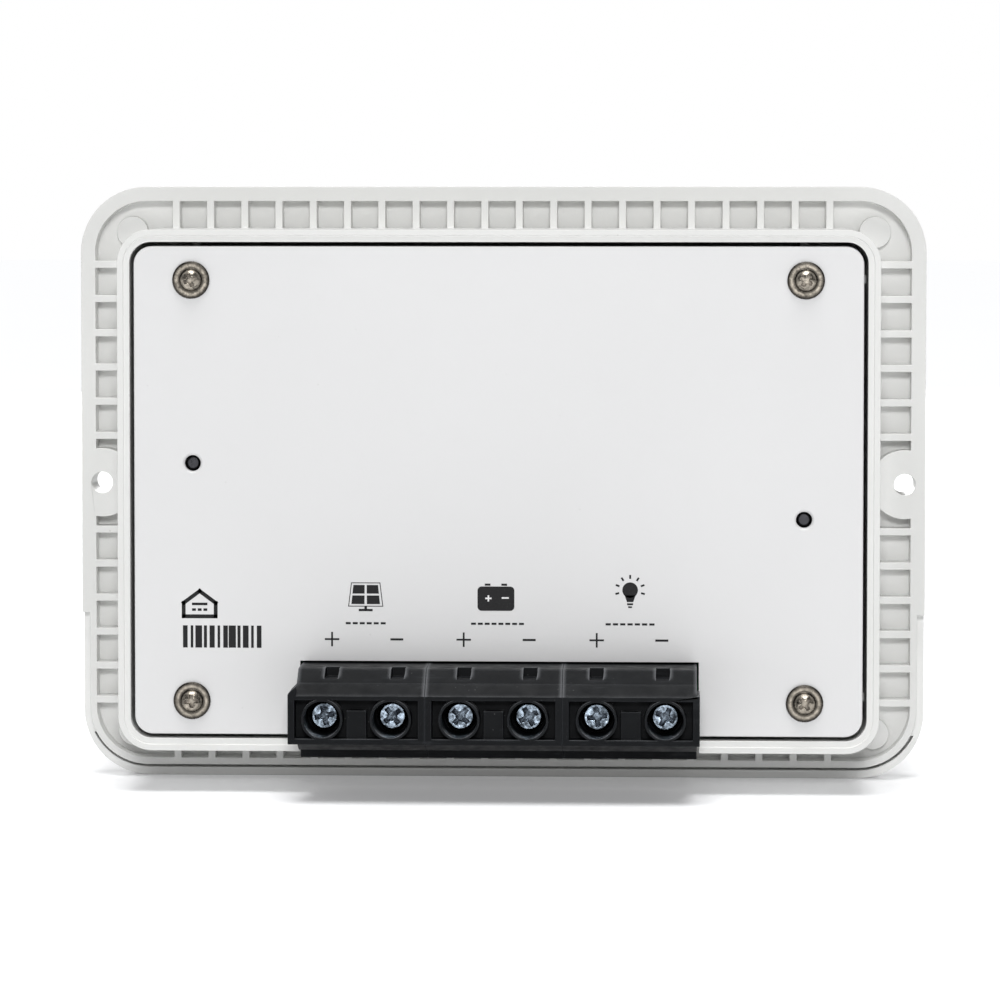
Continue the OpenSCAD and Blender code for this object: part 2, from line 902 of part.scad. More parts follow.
// Wound ring lying flat on the board.
module inductor() {
    color("peru")
        translate([inductor_at.x, board_top_y + inductor_section.y / 2, inductor_at.y])
            rotate([-90, 0, 0])
                rotate_extrude()
                    translate([inductor_r, 0])
                        rounded_rect(inductor_section.x, inductor_section.y, 2);
}

module control_chips() {
    color("#202224")
        for (i = [0 : len(chips_at) - 1])
            slab(board_top_y, board_top_y + chip_t)
                translate(chips_at[i])
                    square(chip_sizes[i], center = true);
}

module board_header() {
    color("#202224")
        slab(display_board_y + board_t, board_y)
            translate(header_at)
                square(header_size, center = true);
}

// ---------- display and keys ----------

module display_board() {
    color("seagreen")
        difference() {
            slab(display_board_y, display_board_y + board_t)
                square([display_board_w, display_board_h], center = true);
            for (sx = [-1, 1], sz = [-1, 1])
                translate([sx * display_boss_x, 0, sz * display_boss_z])
                    rod(display_screw_r + bolt_gap, display_board_y - 1, display_board_y + board_t + 1);
        }
}

module display_board_screws() {
    color("silver")
        for (sx = [-1, 1], sz = [-1, 1])
            translate([sx * display_boss_x, 0, sz * display_boss_z])
                small_screw(display_screw_r, display_screw_len, display_board_y + board_t);
}

module lcd_backlight() {
    color("ivory")
        slab(display_board_y - backlight_t, display_board_y)
            translate([0, lens_z])
                square([lcd_w, lcd_h], center = true);
}

module lcd_glass() {
    color("darkseagreen")
        slab(front_in_y + 2 * run_gap, display_board_y - backlight_t)
            translate([0, lens_z])
                square([lcd_w - 1, lcd_h - 1], center = true);
}

module display_window() {
    color("lightcyan", 0.35)
        slab(front_y, front_y + lens_t)
            translate([0, lens_z])
                rounded_rect(lens_w - 2 * run_gap, lens_h - 2 * run_gap, lens_r - run_gap);
}

module front_overlay() {
    color("slategray")
        slab(front_y, front_y + overlay_t)
            difference() {
                rounded_rect(overlay_w - 2 * film_gap, overlay_h - 2 * film_gap, overlay_r - film_gap);
                translate([0, lens_z])
                    rounded_rect(lens_w, lens_h, lens_r);
                for (i = [-1 : 1]) {
                    translate([i * button_pitch, button_z])
                        circle(button_r + 2 * film_gap);
                    translate([i * lamp_pitch, lamp_z])
                        circle(lamp_r + film_gap);
                }
            }
}

// Light guides from the display board to the front face, with domed tips.
module status_lamps() {
    color("palegreen")
        for (i = [-1 : 1])
            translate([i * lamp_pitch, 0, lamp_z]) {
                rod(lamp_base_r, display_board_y - lamp_base_t, display_board_y);
                rod(lamp_r, front_y + lamp_r, display_board_y - lamp_base_t + eps);
                translate([0, front_y + lamp_r, 0])
                    intersection() {
                        sphere(lamp_r);
                        rod(lamp_r, lamp_sunk - lamp_r, eps);
                    }
            }
}

module tact_switches() {
    color("#2b2d30")
        difference() {
            for (i = [-1 : 1])
                translate([i * button_pitch, 0, button_z])
                    block([-switch_w / 2, display_board_y - switch_h, -switch_w / 2],
                          [switch_w / 2, display_board_y, switch_w / 2]);
            for (i = [-1 : 1])
                translate([i * button_pitch, 0, button_z])
                    rod(plunger_r + run_gap, display_board_y - switch_h - 1, plunger_end_y + 1);
        }
}

module button_cap(i) {
    color("lightgray")
        translate([(i - 2) * button_pitch, 0, button_z]) {
            rod(button_r, front_y - button_proud + button_cut, front_in_y + 2 * run_gap);
            taper(button_r - button_cut, button_r,
                  front_y - button_proud, front_y - button_proud + button_cut + eps);
            rod(button_r + button_collar, front_in_y + run_gap, front_in_y + button_collar_t);
        }
}

module button_cap_1() { button_cap(1); }
module button_cap_2() { button_cap(2); }
module button_cap_3() { button_cap(3); }

module switch_plunger(i) {
    color("black")
        translate([(i - 2) * button_pitch, 0, button_z])
            rod(plunger_r, front_in_y + button_collar_t, plunger_end_y);
}

module switch_plunger_1() { switch_plunger(1); }
module switch_plunger_2() { switch_plunger(2); }
module switch_plunger_3() { switch_plunger(3); }

// ---------- nodes ----------

front_housing();
back_plate();
plate_screw_1();
plate_screw_2();
plate_screw_3();
plate_screw_4();
terminal_housing_1();
terminal_housing_2();
terminal_housing_3();
terminal_screw_1();
terminal_screw_2();
terminal_screw_3();
terminal_screw_4();
terminal_screw_5();
terminal_screw_6();
clamp_cage_1();
clamp_cage_2();
clamp_cage_3();
clamp_cage_4();
clamp_cage_5();
clamp_cage_6();
contact_bar_1();
contact_bar_2();
contact_bar_3();
contact_bar_4();
contact_bar_5();
contact_bar_6();
main_board();
board_screws();
transistors_left();
transistors_right();
clamp_bar_left();
clamp_bar_right();
clamp_screw_left();
clamp_screw_right();
thermal_pad_left();
thermal_pad_right();
capacitor_1();
capacitor_2();
capacitor_3();
inductor();
control_chips();
board_header();
display_board();
display_board_screws();
lcd_glass();
lcd_backlight();
display_window();
front_overlay();
status_lamps();
tact_switches();
button_cap_1();
button_cap_2();
button_cap_3();
switch_plunger_1();
switch_plunger_2();
switch_plunger_3();
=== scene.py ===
import json
import math

import bmesh
import bpy
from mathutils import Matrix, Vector


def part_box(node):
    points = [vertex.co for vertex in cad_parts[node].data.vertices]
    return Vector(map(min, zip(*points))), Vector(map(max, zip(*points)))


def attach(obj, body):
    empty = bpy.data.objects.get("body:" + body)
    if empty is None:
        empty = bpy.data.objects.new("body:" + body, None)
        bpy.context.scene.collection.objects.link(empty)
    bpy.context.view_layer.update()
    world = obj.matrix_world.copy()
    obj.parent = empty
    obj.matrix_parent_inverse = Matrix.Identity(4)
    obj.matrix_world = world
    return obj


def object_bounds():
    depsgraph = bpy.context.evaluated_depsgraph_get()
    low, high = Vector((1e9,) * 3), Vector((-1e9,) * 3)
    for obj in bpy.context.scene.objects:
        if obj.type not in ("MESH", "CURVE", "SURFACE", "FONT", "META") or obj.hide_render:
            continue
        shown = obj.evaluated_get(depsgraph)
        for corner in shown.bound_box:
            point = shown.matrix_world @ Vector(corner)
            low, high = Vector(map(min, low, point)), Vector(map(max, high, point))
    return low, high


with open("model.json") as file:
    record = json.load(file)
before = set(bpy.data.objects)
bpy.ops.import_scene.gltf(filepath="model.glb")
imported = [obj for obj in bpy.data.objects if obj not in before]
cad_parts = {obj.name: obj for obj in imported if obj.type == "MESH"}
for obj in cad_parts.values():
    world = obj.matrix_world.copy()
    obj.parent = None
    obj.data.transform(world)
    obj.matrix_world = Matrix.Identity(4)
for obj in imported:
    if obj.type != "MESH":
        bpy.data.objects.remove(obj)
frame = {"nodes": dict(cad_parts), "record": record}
cad_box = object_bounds()

MM = 0.001
TINY = 1e-6
SLOTS = {part["node"]: part["material_slot"] for part in frame["record"]["subparts"]}


# ---------- procedural materials ----------

AO_SAMPLES = 6
NOISE_LOW, NOISE_HIGH = 0.3, 0.7


class Surface:
    """One procedural material round a Principled shader, drawn in the object's own coordinates.

    Sizes, reaches and depths are in metres. Values and masks run from 0 to 1.
    """

    def __init__(self, name, colour, roughness, metallic=0.0, **inputs):
        self.material = bpy.data.materials.new(name)
        self.material.use_nodes = True
        self.tree = self.material.node_tree
        self.shader = self.tree.nodes["Principled BSDF"]
        self.shader.inputs["Metallic"].default_value = metallic
        for key, value in inputs.items():
            self.shader.inputs[key.replace("_", " ")].default_value = value
        places = self.add("ShaderNodeTexCoord").outputs
        self.place = places["Object"]
        self.own_box = places["Generated"]
        self.way = places["Normal"]
        self.colour = (*colour, 1.0)
        self.roughness = roughness
        self.normal = None

    def add(self, kind, inputs=None, **settings):
        """New shader node, with its inputs linked or set."""
        node = self.tree.nodes.new(kind)
        for key, value in settings.items():
            setattr(node, key, value)
        for key, value in (inputs or {}).items():
            self.set(node.inputs[key], value)
        return node

    def set(self, socket, value):
        if isinstance(value, bpy.types.NodeSocket):
            self.tree.links.new(value, socket)
        elif value is not None:
            socket.default_value = value

    def stretched(self, stretch):
        """The object's coordinates, drawn out along each axis by stretch."""
        inputs = {"Vector": self.place, "Scale": [1 / s for s in stretch]}
        return self.add("ShaderNodeMapping", inputs).outputs["Vector"]

    def noise(self, size, detail=2.0, stretch=None):
        """Noise with features about size across."""
        place = self.stretched(stretch) if stretch else self.place
        inputs = {"Vector": place, "Scale": 1 / size, "Detail": detail}
        return self.add("ShaderNodeTexNoise", inputs).outputs["Fac"]

    def cells(self, size, feature="F1"):
        """Distance within cells about size across."""
        inputs = {"Vector": self.place, "Scale": 1 / size}
        return self.add("ShaderNodeTexVoronoi", inputs, feature=feature).outputs["Distance"]

    def from_middle(self):
        """Place within the piece's box, which is 1 long each way, from its middle."""
        return self.add("ShaderNodeVectorMath", {0: self.own_box, 1: (0.5, 0.5, 0.5)},
                        operation="SUBTRACT").outputs["Vector"]

    def rings(self, count):
        """Turning rings round the Y axis through the middle of the piece."""
        inputs = {"Vector": self.from_middle(), "Scale": count, "Distortion": 0.6, "Detail": 2.0}
        return self.add("ShaderNodeTexWave", inputs, wave_type="RINGS",
                        rings_direction="Y").outputs["Fac"]

    def radius(self):
        """Distance from the piece's Y axis, 0.5 at its widest."""
        flat = self.add("ShaderNodeVectorMath", {0: self.from_middle(), 1: (1.0, 0.0, 1.0)},
                        operation="MULTIPLY").outputs["Vector"]
        return self.add("ShaderNodeVectorMath", {0: flat}, operation="LENGTH").outputs["Value"]

    def ring_mask(self, middle, half_width):
        """1 on a ring of the given radius, fading to 0 half_width away from it."""
        away = self.maths("ABSOLUTE", self.maths("SUBTRACT", self.radius(), middle), 0.0)
        return self.span(away, half_width * 0.4, half_width, 1.0, 0.0)

    def span(self, value, low, high, to_low=0.0, to_high=1.0):
        """Maps a value's range from low to high onto another range, and clips it there."""
        inputs = {"Value": value, "From Min": low, "From Max": high,
                  "To Min": to_low, "To Max": to_high}
        return self.add("ShaderNodeMapRange", inputs).outputs["Result"]

    def maths(self, operation, a, b):
        return self.add("ShaderNodeMath", {0: a, 1: b}, operation=operation).outputs["Value"]

    def near_edge(self, reach, sharp=0.35, flat=0.75):
        """1 along convex edges, 0 on flat ground."""
        found = self.add("ShaderNodeAmbientOcclusion", {"Distance": reach}, inside=True,
                         only_local=True, samples=AO_SAMPLES)
        return self.span(found.outputs["AO"], sharp, flat, 1.0, 0.0)

    def facing_up(self, level, upright):
        """1 where the surface looks upwards, 0 where it stands level or looks down."""
        height = self.add("ShaderNodeSeparateXYZ", {"Vector": self.way}).outputs["Z"]
        return self.span(height, level, upright)

    def in_corner(self, reach, tight=0.15, free=0.8):
        """1 in corners and crevices, 0 in the open."""
        found = self.add("ShaderNodeAmbientOcclusion", {"Distance": reach}, samples=AO_SAMPLES)
        return self.span(found.outputs["AO"], tight, free, 1.0, 0.0)

    def tint(self, mask, colour, share=1.0):
        """Mixes a colour in by mask times share."""
        if share != 1.0:
            mask = self.maths("MULTIPLY", mask, share)
        self.colour = self.add("ShaderNodeMixRGB", {"Fac": mask, "Color1": self.colour,
                                                    "Color2": (*colour, 1.0)}).outputs["Color"]
        return self

    def shade(self, value, low, high):
        """Multiplies the colour by a noise or pattern, spread from low to high."""
        level = self.span(value, NOISE_LOW, NOISE_HIGH, low, high)
        self.colour = self.add("ShaderNodeMixRGB", {"Fac": 1.0, "Color1": self.colour,
                                                    "Color2": level},
                               blend_type="MULTIPLY").outputs["Color"]
        return self

    def rough(self, value, low, high):
        """Roughness that follows a noise or pattern, spread from low to high."""
        self.roughness = self.span(value, NOISE_LOW, NOISE_HIGH, low, high)
        return self

    def bump(self, height, depth, strength=1.0):
        """Adds a relief of the given depth on top of the ones before it."""
        inputs = {"Height": height, "Distance": depth, "Strength": strength, "Normal": self.normal}
        self.normal = self.add("ShaderNodeBump", inputs).outputs["Normal"]
        return self

    def done(self):
        """Links what was built to the shader and gives the material."""
        self.set(self.shader.inputs["Base Color"], self.colour)
        self.set(self.shader.inputs["Roughness"], self.roughness)
        self.set(self.shader.inputs["Normal"], self.normal)
        return self.material


def housing_plastic():
    """Matt white moulding with sparse dark specks, painted light in its cells, painted shade in
    tight corners and seams, and painted highlights along its edges.
    """
    s = Surface("housing_plastic", (0.63, 0.632, 0.618), 0.42)
    s.shade(s.noise(0.045, 3.0), 0.975, 1.015)
    s.tint(s.span(s.noise(0.0011, 4.0), 0.66, 0.74, 0.0, 0.12), (0.62, 0.61, 0.58))
    specks = s.maths("MULTIPLY", s.span(s.cells(0.0045), 0.03, 0.055, 1.0, 0.0),
                     s.span(s.noise(0.012), 0.56, 0.62))
    s.tint(specks, (0.20, 0.18, 0.16), 0.55)
    # painted light: cells and hollows lightened, standing in for light bouncing inside the white
    # plastic
    s.tint(s.in_corner(0.007, 0.5, 0.95), (0.90, 0.90, 0.885), 0.55)
    # painted shade: the tightest corners and seams darkened
    s.tint(s.in_corner(0.0014, 0.1, 0.4), (0.12, 0.12, 0.115), 0.7)
    # painted highlight along convex edges
    s.tint(s.near_edge(0.0005), (0.76, 0.765, 0.75), 0.3)
    s.rough(s.noise(0.009, 4.0), 0.36, 0.5)
    s.bump(s.noise(0.00035, 3.0), 0.00002, 0.5)
    s.bump(s.noise(0.012, 1.0), 0.00008, 0.25)
    return s.done()


def cover_paint():
    """Smooth white powder paint with a little dust and a painted highlight along its edges."""
    s = Surface("cover_paint", (0.622, 0.622, 0.624), 0.38)
    s.shade(s.noise(0.06, 2.0), 0.985, 1.012)
    s.tint(s.span(s.noise(0.0004, 3.0), 0.6, 0.75, 0.0, 0.10), (0.68, 0.68, 0.69))
    dust = s.span(s.cells(0.006), 0.022, 0.04, 1.0, 0.0)
    s.tint(dust, (0.45, 0.44, 0.43), 0.25)
    # painted highlight along the edges
    s.tint(s.near_edge(0.0004), (0.78, 0.78, 0.79), 0.5)
    s.rough(s.noise(0.004, 3.0), 0.3, 0.42)
    s.bump(s.noise(0.0009, 2.0), 0.00003, 0.35)
    return s.done()


def turned_metal(name, colour, dark, roughness, ring_count):
    """Small turned and plated part: rings, fine scratches and painted shade in its recesses."""
    s = Surface(name, colour, roughness, 1.0)
    s.shade(s.noise(0.0015, 3.0), 0.86, 1.06)
    # painted shade: recesses darkened towards the dark colour
    s.tint(s.in_corner(0.0012), dark, 0.8)
    s.rough(s.noise(0.0007, 4.0), roughness * 0.75, roughness * 1.5)
    s.bump(s.rings(ring_count), 0.00001, 0.35)
    s.bump(s.noise(0.0004, 4.0), 0.00002, 0.4)
    return s.done()


def cover_screw():
    """Warm nickel, with painted shade and dark reflection round the washer's rim, and painted
    shade at the foot of the head and in its recess.
    """
    s = Surface("cover_screw", (0.36, 0.325, 0.275), 0.24, 1.0)
    s.shade(s.noise(0.0009, 4.0), 0.45, 1.35)
    # painted shade and dark reflection: a dark ring at the washer's rim
    s.tint(s.ring_mask(0.5, 0.11), (0.035, 0.032, 0.028), 0.95)
    # painted shade: a dark ring at the foot of the head
    s.tint(s.ring_mask(0.31, 0.06), (0.05, 0.045, 0.038), 0.85)
    # painted shade in the recesses
    s.tint(s.in_corner(0.001), (0.05, 0.04, 0.035), 0.8)
    s.rough(s.noise(0.0005, 4.0), 0.16, 0.42)
    s.bump(s.noise(0.0005, 3.0), 0.00004, 0.6)
    return s.done()


def terminal_screw():
    """Blue zinc with bright crystals that sparkle on a head rubbed by the driver, and painted
    shade in its recess and round the head in its well.
    """
    s = Surface("terminal_screw", (0.38, 0.455, 0.54), 0.28, 1.0)
    s.shade(s.noise(0.0014, 2.0), 0.12, 1.7)
    s.shade(s.cells(0.0006), 0.5, 1.2)
    # painted shade: the cross recess and the head's rim in its well darkened
    s.tint(s.in_corner(0.002, 0.3, 0.85), (0.012, 0.015, 0.022), 0.95)
    s.rough(s.noise(0.0003, 3.0), 0.12, 0.4)
    s.bump(s.cells(0.0007), 0.0001, 0.6)
    s.bump(s.noise(0.0003, 3.0), 0.00005, 0.7)
    return s.done()


def terminal_plastic():
    """Black moulding with scuffs, dust and painted highlights along its edges, strongest on the
    edges that face up.
    """
    s = Surface("terminal_plastic", (0.0065, 0.0072, 0.0082), 0.45, Specular_IOR_Level=0.07)
    s.shade(s.noise(0.008, 3.0), 0.8, 1.25)
    scuffs = s.span(s.noise(0.0009, 5.0, stretch=(6.0, 1.0, 1.0)), 0.56, 0.7, 0.0, 0.3)
    s.tint(scuffs, (0.035, 0.037, 0.041), s.span(s.noise(0.006), 0.45, 0.6))
    dust = s.span(s.cells(0.0012), 0.04, 0.08, 0.4, 0.0)
    s.tint(dust, (0.3, 0.3, 0.3), s.span(s.noise(0.004), 0.5, 0.6))
    # painted highlight along convex edges
    s.tint(s.near_edge(0.0004), (0.07, 0.075, 0.085), 0.4)
    # painted highlight: paler on edges that face up, standing in for the reflection of the light
    # above
    upward_edge_highlight = s.maths("MULTIPLY", s.near_edge(0.0009, 0.5, 0.93), s.facing_up(0.3, 0.7))
    s.tint(upward_edge_highlight, (0.17, 0.175, 0.185), 0.65)
    s.rough(s.noise(0.0025, 4.0), 0.38, 0.56)
    s.bump(s.noise(0.0003, 3.0), 0.00002, 0.6)
    s.bump(s.noise(0.004, 2.0), 0.00008, 0.3)
    return s.done()


def sheet_metal(name, colour, roughness, grain=(1.0, 1.0, 8.0)):
    """Stamped part with a rolling grain, painted shade in its corners and painted highlights along
    its edges.
    """
    s = Surface(name, colour, roughness, 1.0)
    s.shade(s.noise(0.002, 3.0), 0.85, 1.08)
    # painted shade in corners and recesses
    s.tint(s.in_corner(0.001), [c * 0.25 for c in colour], 0.5)
    # painted highlight along convex edges
    s.tint(s.near_edge(0.0003), [c * 1.25 for c in colour], 0.5)
    s.rough(s.noise(0.0006, 4.0, stretch=grain), roughness * 0.7, roughness * 1.5)
    s.bump(s.noise(0.0003, 4.0, stretch=grain), 0.00001, 0.5)
    return s.done()


def moulded(name, colour, roughness=0.45):
    """Small moulded part with a fine spark-eroded grain, painted shade in its corners and painted
    highlights along its edges.
    """
    s = Surface(name, colour, roughness)
    s.shade(s.noise(0.006, 3.0), 0.88, 1.1)
    # painted shade in corners and recesses
    s.tint(s.in_corner(0.001), [c * 0.4 for c in colour], 0.4)
    # painted highlight along convex edges
    s.tint(s.near_edge(0.0004), [c * 1.3 + 0.03 for c in colour], 0.4)
    s.rough(s.noise(0.001, 4.0), roughness * 0.8, roughness * 1.2)
    s.bump(s.noise(0.0003, 3.0), 0.000015, 0.6)
    return s.done()


def circuit_board():
    """Green solder mask over copper tracks, with the bare laminate showing at its edges."""
    s = Surface("circuit_board", (0.012, 0.11, 0.04), 0.3)
    tracks = s.add("ShaderNodeTexBrick", {
        "Vector": s.place, "Scale": 90.0, "Mortar Size": 0.06, "Color1": (0, 0, 0, 1),
        "Color2": (0, 0, 0, 1), "Mortar": (1, 1, 1, 1)}).outputs["Color"]
    s.tint(tracks, (0.04, 0.24, 0.09), 0.45)
    pads = s.span(s.cells(0.0035), 0.12, 0.14, 1.0, 0.0)
    s.tint(pads, (0.5, 0.48, 0.42), 0.8)
    s.tint(s.near_edge(0.0008), (0.25, 0.24, 0.12), 0.6)
    s.rough(s.noise(0.003, 3.0), 0.22, 0.4)
    s.bump(tracks, 0.00003, 0.6)
    return s.done()


def copper_winding():
    """Enamelled wire in close slanting turns."""
    s = Surface("copper_winding", (0.55, 0.22, 0.09), 0.3, 0.85)
    turns = s.add("ShaderNodeTexWave", {"Vector": s.place, "Scale": 420.0, "Distortion": 1.5},
                  wave_type="BANDS", bands_direction="DIAGONAL").outputs["Fac"]
    s.shade(turns, 0.55, 1.1)
    s.bump(turns, 0.0003, 0.8)
    return s.done()


def capacitor_sleeve():
    """Dark blue shrunk film, paler where it turns over the rim."""
    s = Surface("capacitor_sleeve", (0.02, 0.022, 0.05), 0.25)
    s.shade(s.noise(0.004), 0.85, 1.2)
    s.tint(s.near_edge(0.0006), (0.12, 0.12, 0.16), 0.5)
    s.rough(s.noise(0.002, 3.0), 0.18, 0.34)
    s.bump(s.noise(0.002, 2.0), 0.00003, 0.5)
    return s.done()


def thermal_pad():
    """Pale blue silicone with a fine woven texture."""
    s = Surface("thermal_pad", (0.35, 0.5, 0.6), 0.75)
    s.shade(s.noise(0.003, 4.0), 0.85, 1.1)
    weave = s.span(s.cells(0.0008), 0.2, 0.6)
    s.rough(weave, 0.65, 0.85)
    s.bump(weave, 0.00005, 0.5)
    return s.done()


def lcd_glass():
    """Unlit display glass, green-grey, with the faint mottling of its polariser."""
    s = Surface("lcd_glass", (0.30, 0.36, 0.27), 0.16, Coat_Weight=0.4)
    s.shade(s.noise(0.02, 2.0), 0.94, 1.05)
    s.tint(s.span(s.noise(0.0004, 3.0), 0.55, 0.75, 0.0, 0.12), (0.22, 0.27, 0.2))
    s.rough(s.noise(0.004, 3.0), 0.12, 0.22)
    s.bump(s.noise(0.0006, 2.0), 0.000005, 0.4)
    return s.done()


def clear_lens():
    """Clear acrylic window with faint wipe marks."""
    s = Surface("lens", (0.93, 0.95, 0.95), 0.04, Transmission_Weight=1.0, IOR=1.49)
    s.shade(s.noise(0.01, 3.0), 0.97, 1.0)
    s.rough(s.noise(0.005, 5.0), 0.02, 0.07)
    s.bump(s.noise(0.003, 1.0), 0.000004, 0.3)
    return s.done()


def overlay_film():
    """Slate printed film with a fine texture and a painted highlight along its outline."""
    s = Surface("overlay_film", (0.055, 0.068, 0.085), 0.42)
    s.shade(s.noise(0.03, 2.0), 0.92, 1.08)
    s.tint(s.span(s.cells(0.0005), 0.1, 0.5, 0.10, 0.0), (0.2, 0.22, 0.25))
    # painted highlight along the outline
    s.tint(s.near_edge(0.0003), (0.2, 0.22, 0.24), 0.4)
    s.rough(s.noise(0.0012, 3.0), 0.34, 0.52)
    s.bump(s.cells(0.0005), 0.00002, 0.7)
    return s.done()


def lamp_lens():
    """Frosted green cap of a small lamp."""
    s = Surface("lamp_lens", (0.55, 0.78, 0.5), 0.2, Transmission_Weight=0.35, IOR=1.49)
    s.shade(s.noise(0.0008, 3.0), 0.9, 1.06)
    s.rough(s.noise(0.0006, 3.0), 0.12, 0.32)
    s.bump(s.cells(0.0003), 0.00002, 0.5)
    return s.done()


def legend_ink():
    """Screen-printed black with slightly ragged cover."""
    s = Surface("legend_ink", (0.009, 0.009, 0.010), 0.5, Specular_IOR_Level=0.2)
    s.tint(s.span(s.noise(0.00025, 4.0), 0.58, 0.75, 0.0, 0.25), (0.08, 0.08, 0.085))
    s.rough(s.noise(0.0005, 3.0), 0.42, 0.6)
    s.bump(s.noise(0.0003, 3.0), 0.00001, 0.4)
    return s.done()


def legend_paint():
    """Plate colour showing through a printed sign."""
    s = Surface("legend_paint", (0.74, 0.74, 0.745), 0.4)
    s.shade(s.noise(0.0006, 3.0), 0.92, 1.03)
    s.bump(s.noise(0.0004, 3.0), 0.00001, 0.4)
    return s.done()


MATERIALS = {
    "housing_plastic": housing_plastic(),
    "cover_paint": cover_paint(),
    "cover_screw": cover_screw(),
    "terminal_plastic": terminal_plastic(),
    "terminal_screw": terminal_screw(),
    "cage_plating": sheet_metal("cage_plating", (0.62, 0.61, 0.57), 0.3),
    "contact_metal": sheet_metal("contact_metal", (0.70, 0.60, 0.38), 0.28),
    "circuit_board": circuit_board(),
    "steel_screw": turned_metal("steel_screw", (0.055, 0.055, 0.06), (0.01, 0.01, 0.01), 0.3, 12),
    "component_black": moulded("component_black", (0.02, 0.02, 0.022), 0.5),
    "bar_steel": sheet_metal("bar_steel", (0.45, 0.45, 0.46), 0.4),
    "thermal_pad": thermal_pad(),
    "capacitor_sleeve": capacitor_sleeve(),
    "copper_winding": copper_winding(),
    "lcd_glass": lcd_glass(),
    "backlight_plastic": moulded("backlight_plastic", (0.72, 0.72, 0.68), 0.5),
    "lens": clear_lens(),
    "overlay_film": overlay_film(),
    "lamp_lens": lamp_lens(),
    "button_plastic": moulded("button_plastic", (0.52, 0.54, 0.55), 0.38),
    "plunger_plastic": moulded("plunger_plastic", (0.03, 0.03, 0.03), 0.45),
}
PRINT = {"ink": legend_ink(), "light": legend_paint()}


# ---------- CAD nodes ----------

FLAT_WITHIN = math.radians(0.3)
SHARP_OVER = math.radians(35)
FINE_ROUNDING = 0.06 * MM
COARSE_ROUNDING = 0.12 * MM
COARSE_NODES = ("front_housing", "terminal_housing")


def finish_node(name, edge):
    """Joins the facets of a CAD node, rounds its sharp edges and gives it its material."""
    node = frame["nodes"][name]
    node.data.materials.clear()
    node.data.materials.append(MATERIALS[SLOTS[name]])
    weld = node.modifiers.new("weld", "WELD")
    weld.merge_threshold = TINY
    flatten = node.modifiers.new("flatten", "DECIMATE")
    flatten.decimate_type = "DISSOLVE"
    flatten.angle_limit = FLAT_WITHIN
    round_edges = node.modifiers.new("round_edges", "BEVEL")
    round_edges.width = edge
    round_edges.segments = 2
    round_edges.limit_method = "ANGLE"
    round_edges.angle_limit = SHARP_OVER
    round_edges.use_clamp_overlap = False
    smooth = node.modifiers.new("smooth", "WEIGHTED_NORMAL")
    smooth.mode = "FACE_AREA"


for node_name in frame["nodes"]:
    coarse = node_name.startswith(COARSE_NODES)
    finish_node(node_name, COARSE_ROUNDING if coarse else FINE_ROUNDING)


# ---------- printed marks ----------
# Marks are drawn in mm, across to the right and up as someone facing them sees them.

PRINT_T = 0.02
DISC_STEPS = 32
CORNER_STEPS = 6


def bar(across, up, width, height):
    """Rectangle round its middle."""
    w, h = width / 2, height / 2
    return [(across - w, up - h), (across + w, up - h), (across + w, up + h), (across - w, up + h)]


def tilted_bar(across, up, length, width, angle):
    """Bar whose long side points along angle, in degrees."""
    c, s = math.cos(math.radians(angle)), math.sin(math.radians(angle))
    return [(across + a * c - u * s, up + a * s + u * c) for a, u in bar(0, 0, length, width)]


def disc(across, up, radius):
    turns = [2 * math.pi * i / DISC_STEPS for i in range(DISC_STEPS)]
    return [(across + radius * math.cos(t), up + radius * math.sin(t)) for t in turns]


def rounded_bar(across, up, width, height, radius):
    """Rectangle with quarter-circle corners."""
    points = []
    for corner, (sa, su) in enumerate([(1, 1), (-1, 1), (-1, -1), (1, -1)]):
        middle = (across + sa * (width / 2 - radius), up + su * (height / 2 - radius))
        for i in range(CORNER_STEPS + 1):
            t = math.pi / 2 * (corner + i / CORNER_STEPS)
            points.append((middle[0] + radius * math.cos(t), middle[1] + radius * math.sin(t)))
    return points


def plus_sign(across, up, size, line):
    side = (size - line) / 2
    offset = (line + side) / 2
    return [bar(across, up, size, line), bar(across, up + offset, line, side),
            bar(across, up - offset, line, side)]


def outline(points, line):
    """Bars along the sides of a closed shape."""
    sides = []
    for (a1, u1), (a2, u2) in zip(points, points[1:] + points[:1]):
        length = math.hypot(a2 - a1, u2 - u1)
        angle = math.degrees(math.atan2(u2 - u1, a2 - a1))
        sides.append(tilted_bar((a1 + a2) / 2, (u1 + u2) / 2, length + line, line, angle))
    return sides


def printed(name, shapes, face_y, facing, body, ink):
    """Thin raised print of the shapes on a face at face_y that faces along facing times Y."""
    bm = bmesh.new()
    for points in shapes:
        rings = [[bm.verts.new((-facing * a * MM, face_y + facing * depth * MM, u * MM))
                  for a, u in points] for depth in (0.0, PRINT_T)]
        bm.faces.new(rings[1])
        bm.faces.new(rings[0][::-1])
        for i in range(len(points)):
            j = (i + 1) % len(points)
            bm.faces.new([rings[0][i], rings[0][j], rings[1][j], rings[1][i]])
    bmesh.ops.recalc_face_normals(bm, faces=bm.faces)
    mesh = bpy.data.meshes.new(name)
    bm.to_mesh(mesh)
    bm.free()
    mesh.materials.append(PRINT[ink])
    piece = bpy.data.objects.new(name, mesh)
    bpy.context.scene.collection.objects.link(piece)
    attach(piece, body)
    return piece


